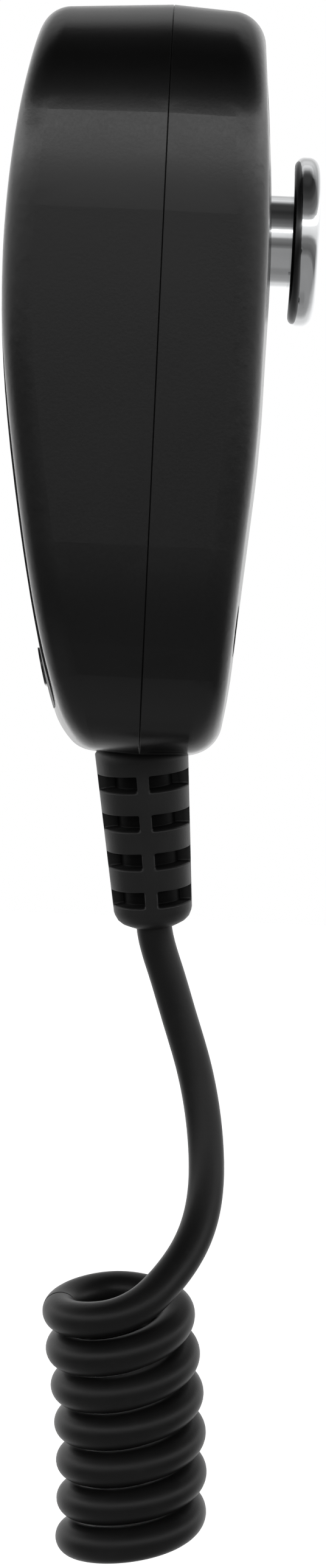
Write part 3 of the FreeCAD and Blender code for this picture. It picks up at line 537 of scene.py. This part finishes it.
def make_boot(material):
    """Slotted boot as one closed skin: the bore, the rounded end, the slots, the neck and the flange."""
    sides = 192
    turn = np.arange(sides) * 2 * math.pi / sides
    across = Vector((1, 0, 0)) - LEAN * LEAN.x
    across.normalize()
    depth = LEAN.cross(across)
    if depth.y < 0:
        depth = -depth
    rings = []
    slot_shade = []

    def add_ring(ring, depths=None):
        rings.append(ring)
        slot_shade.append(np.zeros(sides, np.float32) if depths is None else np.array(depths, np.float32))

    def upright(radius, z):
        add_ring([(PARTING_X + radius * math.cos(a), radius * math.sin(a), z) for a in turn])

    def bore(distance):
        centre = bend_line(distance)
        add_ring([tuple(centre + (across * math.cos(a) + depth * math.sin(a)) * BORE_R) for a in turn])

    def skin(distance, inset=0.0):
        centre = BOOT_ROOT + LEAN * distance
        full = boot_radius(distance) - inset
        depths = [slot_depth(a, distance) for a in turn]
        ring = []
        for a, share in zip(turn, depths):
            r = full + (BOOT_CORE_R - full) * share
            ring.append(tuple(centre + (across * math.cos(a) + depth * math.sin(a)) * r))
        add_ring(ring, depths)

    # down the bore, from the flange to the end
    for distance in np.linspace(-3.9, 0, 8):
        bore(distance)
    for distance in np.linspace(1.2, BOOT_LENGTH, 24):
        bore(distance)
    # round the end: how far each ring is above the end, and how far inside the skin
    for above, inset in ((-0.1, 2.0), (0.1, 1.55), (0.45, 0.85), (0.95, 0.35), (1.6, 0.08)):
        skin(BOOT_LENGTH - above, inset)
    # up the skin, past the slots, to the bottom wall of the case
    for distance in np.linspace(BOOT_TAPER, 0.9, 130):
        skin(distance)
    # the skin ends inside that wall, then come the neck and the flange
    skin(0.35)
    skin(-0.6)
    inside = [
        (BOOT_NECK_R + 0.6, NECK_LOW_Z - 0.2), (BOOT_NECK_R, NECK_LOW_Z), (BOOT_NECK_R, FLANGE_LOW_Z - 0.05),
        (BOOT_FLANGE_R - 0.05, FLANGE_LOW_Z), (BOOT_FLANGE_R, FLANGE_LOW_Z + 0.1),
        (BOOT_FLANGE_R, FLANGE_TOP_Z - 0.1), (BOOT_FLANGE_R - 0.1, FLANGE_TOP_Z),
    ]
    for radius, z in inside:
        upright(radius, z)
    made = turned_out(grid_object("boot", rings, material, ends="JOINED"))
    # each point's slot depth, which the boot's material turns into painted shade in the slots
    made.data.attributes.new(PAINTED_SLOT_SHADE, "FLOAT", "POINT").data.foreach_set("value", np.concatenate(slot_shade))
    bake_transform(made)
    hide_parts("strain_relief_boot")


def make_inner_cord(material):
    """The cord inside the case and the boot, along the same bent centre line as the boot's bore."""
    top = -(BOOT_ROOT.z - JACKET_TOP_Z) / ENTRY.z
    line = [bend_line(d) for d in np.linspace(top, BOOT_LENGTH, 90)]
    made = turned_out(grid_object("inner_cord", tube_rings(line, CORD_R, 48), material))
    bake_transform(made)
    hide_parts("cord_inner")


# ---- coil ------------------------------------------------------------------------------------
def coil_point(half_turns):
    """Point of the coil's centre line: a tilted helix whose axis drifts, more at the top than below."""
    share = half_turns / COIL_HALF_TURNS
    ease = 1 - (1 - share) ** 2
    angle = -math.pi * half_turns
    across = COIL_R * math.cos(angle)
    depth = COIL_R * math.sin(angle)
    tilt_x = TILT_X[0] + (TILT_X[1] - TILT_X[0]) * share
    tilt_y = TILT_Y[0] + (TILT_Y[1] - TILT_Y[0]) * share
    rise = tilt_x * across + tilt_y * depth - COIL_PITCH / 2 * half_turns
    return COIL_TOP + COIL_DRIFT * ease + Vector((across, depth, rise))


def cord_curve():
    """Centre line of the cord from the boot to the tail, and the knot at which the coil begins."""
    last = COIL_HALF_TURNS + TAIL_TURN
    loops = [coil_point(last * i / COIL_STEPS) for i in range(COIL_STEPS + 1)]
    points = [tuple(BOOT_END)] + LEAD + FIRST_LOOP + [tuple(p) for p in loops]
    finish = (loops[-1] - coil_point(last - 0.001)).normalized()
    curve = clamped_spline(points, tuple(LEAN), tuple(finish))
    return curve, curve[0][len(LEAD) + 1]


def make_coil(material):
    """Coiled part of the cord: a tube along the cord's curve from the first loop to the tail."""
    curve, start = cord_curve()
    end = curve[0][-1]
    line = spline_at(curve, np.linspace(start, end, 620))
    sides = 36
    made = turned_out(grid_object("coil", tube_rings(line, CORD_R, sides), material))
    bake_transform(made)
    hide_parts("cord_coil")


# ---- talk bar's return spring ----------------------------------------------------------------
def make_spring(material):
    """Compression spring between the rib of the case and the bar."""
    steps = SPRING_TURNS * 40
    low = SPRING_SEAT_Y + SPRING_WIRE_R + SPRING_GAP
    rise = SPRING_TOP_Y - SPRING_SEAT_Y - 2 * (SPRING_WIRE_R + SPRING_GAP)
    line = []
    for i in range(steps + 1):
        share = i / steps
        angle = 2 * math.pi * SPRING_TURNS * share
        x = SPRING_CENTRE[0] + SPRING_R * math.cos(angle)
        z = SPRING_CENTRE[1] + SPRING_R * math.sin(angle)
        line.append((x, low + rise * share, z))
    made = turned_out(grid_object("return_spring", tube_rings(line, SPRING_WIRE_R, 16), material))
    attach(made, "housing")
    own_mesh(made)
    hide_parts("ptt_return_spring")


# ---- floor, light and camera -----------------------------------------------------------------
def make_floor():
    """Plain pale floor below the fully stretched coil, as bright to the camera as the backdrop."""
    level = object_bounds()[0].z - COIL_STRETCH - 0.01
    mesh = bpy.data.meshes.new("floor")
    reach = 6.0
    corners = [(-reach, -reach, 0), (reach, -reach, 0), (reach, reach, 0), (-reach, reach, 0)]
    mesh.from_pydata(corners, [], [(0, 1, 2, 3)])
    floor = bpy.data.objects.new("floor", mesh)
    floor.location.z = level
    bpy.context.scene.collection.objects.link(floor)
    s = Shader("floor_paper", specular=0.1)
    tone = s.mix(s.fit(s.noise(2.0, 2), 0.3, 0.7, 0, 1), (0.86, 0.86, 0.86), (0.88, 0.88, 0.88))
    glow = {"Emission Color": (1.0, 1.0, 1.0), "Emission Strength": 0.72}
    s.set(tone, 0.9, s.bump(s.noise(60, 2), 0.0004, 0.1), **glow)
    mesh.materials.append(s.material)
    floor.visible_glossy = False
    floor.visible_diffuse = False


# degrees above the horizon and brightness, on the camera's side and on the far side
FRONT_LIGHT = [
    (-90, 0.25), (-75, 0.32), (-60, 0.32), (-40, 0.3), (-28, 0.3), (-22, 0.18), (-17, 0.13), (-12, 0.16),
    (-8, 0.2), (-4, 0.22), (-1.5, 0.3), (0.5, 0.5), (3, 0.78), (6, 0.87), (12, 1.0), (14.5, 1.5), (17, 4.0),
    (19, 2.9), (23, 0.6), (31, 0.2), (42, 0.12), (55, 0.05), (70, 0.03), (90, 0.05),
]
BACK_LIGHT = [
    (-90, 0.25), (-60, 0.4), (-40, 0.8), (-5, 1.15), (15, 1.15), (30, 0.8), (40, 0.6), (57, 1.0), (65, 1.6),
    (72, 1.4), (80, 0.5), (90, 0.1),
]
LIGHT_SCALE = 4.0


def elevation_ramp(s, height, stops):
    """Brightness by height above the horizon: the stops give degrees and level."""
    ramp = s.add("ShaderNodeValToRGB")
    ramp.color_ramp.interpolation = "EASE"
    while len(ramp.color_ramp.elements) < len(stops):
        ramp.color_ramp.elements.new(0.5)
    for i, (degrees, level) in enumerate(stops):
        ramp.color_ramp.elements[i].position = (math.sin(math.radians(degrees)) + 1) / 2
        ramp.color_ramp.elements[i].color = (*grey(level / LIGHT_SCALE), 1.0)
    s.link(height, ramp.inputs[0])
    return ramp.outputs[0]


class SkyTree(Shader):
    """The same node helpers on the world's tree."""

    def __init__(self, tree):
        """Empties the tree; the world has no surface and no object coordinates."""
        self.tree = tree
        self.tree.nodes.clear()


def make_light_tent():
    """Soft light tent: white behind the object, a softbox above the camera, dark overhead, white backdrop."""
    world = bpy.data.worlds.new("light_tent")
    bpy.context.scene.world = world
    world.use_nodes = True
    s = SkyTree(world.node_tree)
    look = s.add("ShaderNodeTexCoord").outputs["Generated"]
    part = s.add("ShaderNodeSeparateXYZ")
    s.link(look, part.inputs[0])
    height = s.fit(part.outputs[2], -1, 1, 0, 1)
    behind = s.fit(part.outputs[1], 0.05, 0.75, 0, 1)
    colour = s.mix(behind, elevation_ramp(s, height, FRONT_LIGHT), elevation_ramp(s, height, BACK_LIGHT))
    tent = s.add("ShaderNodeBackground")
    s.link(colour, tent.inputs[0])
    tent.inputs[1].default_value = LIGHT_SCALE
    backdrop = s.add("ShaderNodeBackground")
    backdrop.inputs[0].default_value = (1, 1, 1, 1)
    backdrop.inputs[1].default_value = 1.0
    path = s.add("ShaderNodeLightPath")
    choose = s.add("ShaderNodeMixShader")
    s.link(path.outputs["Is Camera Ray"], choose.inputs[0])
    s.link(tent.outputs[0], choose.inputs[1])
    s.link(backdrop.outputs[0], choose.inputs[2])
    out = s.add("ShaderNodeOutputWorld")
    s.link(choose.outputs[0], out.inputs[0])


def make_camera():
    """Level view across the microphone from the side without the talk bar, turned a little about its axis."""
    roll = math.radians(2.7)
    distance = 0.415
    tall_view = 0.1937      # height of what the camera sees in the plane y = 0
    aim_x, aim_z = -0.01143, -0.0676
    data = bpy.data.cameras.new("camera")
    data.sensor_width = 36.0
    data.lens = data.sensor_width * distance / tall_view
    data.clip_start = 0.01
    data.clip_end = 100.0
    camera = bpy.data.objects.new("camera", data)
    right = Vector((math.cos(roll), 0, math.sin(roll)))
    up = Vector((-math.sin(roll), 0, math.cos(roll)))
    turn = Matrix((right, up, right.cross(up))).transposed()
    camera.matrix_world = Matrix.Translation((aim_x, -distance, aim_z)) @ turn.to_4x4()
    bpy.context.scene.collection.objects.link(camera)
    bpy.context.scene.camera = camera


# ---- build -----------------------------------------------------------------------------------
bpy.context.scene.view_settings.view_transform = "Standard"
materials = make_materials()
paint_cad_nodes(materials)
make_boot(materials["boot_rubber"])
make_inner_cord(materials["cord_jacket"])
make_coil(materials["cord_jacket"])
make_spring(materials["steel"])
make_floor()
make_light_tent()
make_camera()
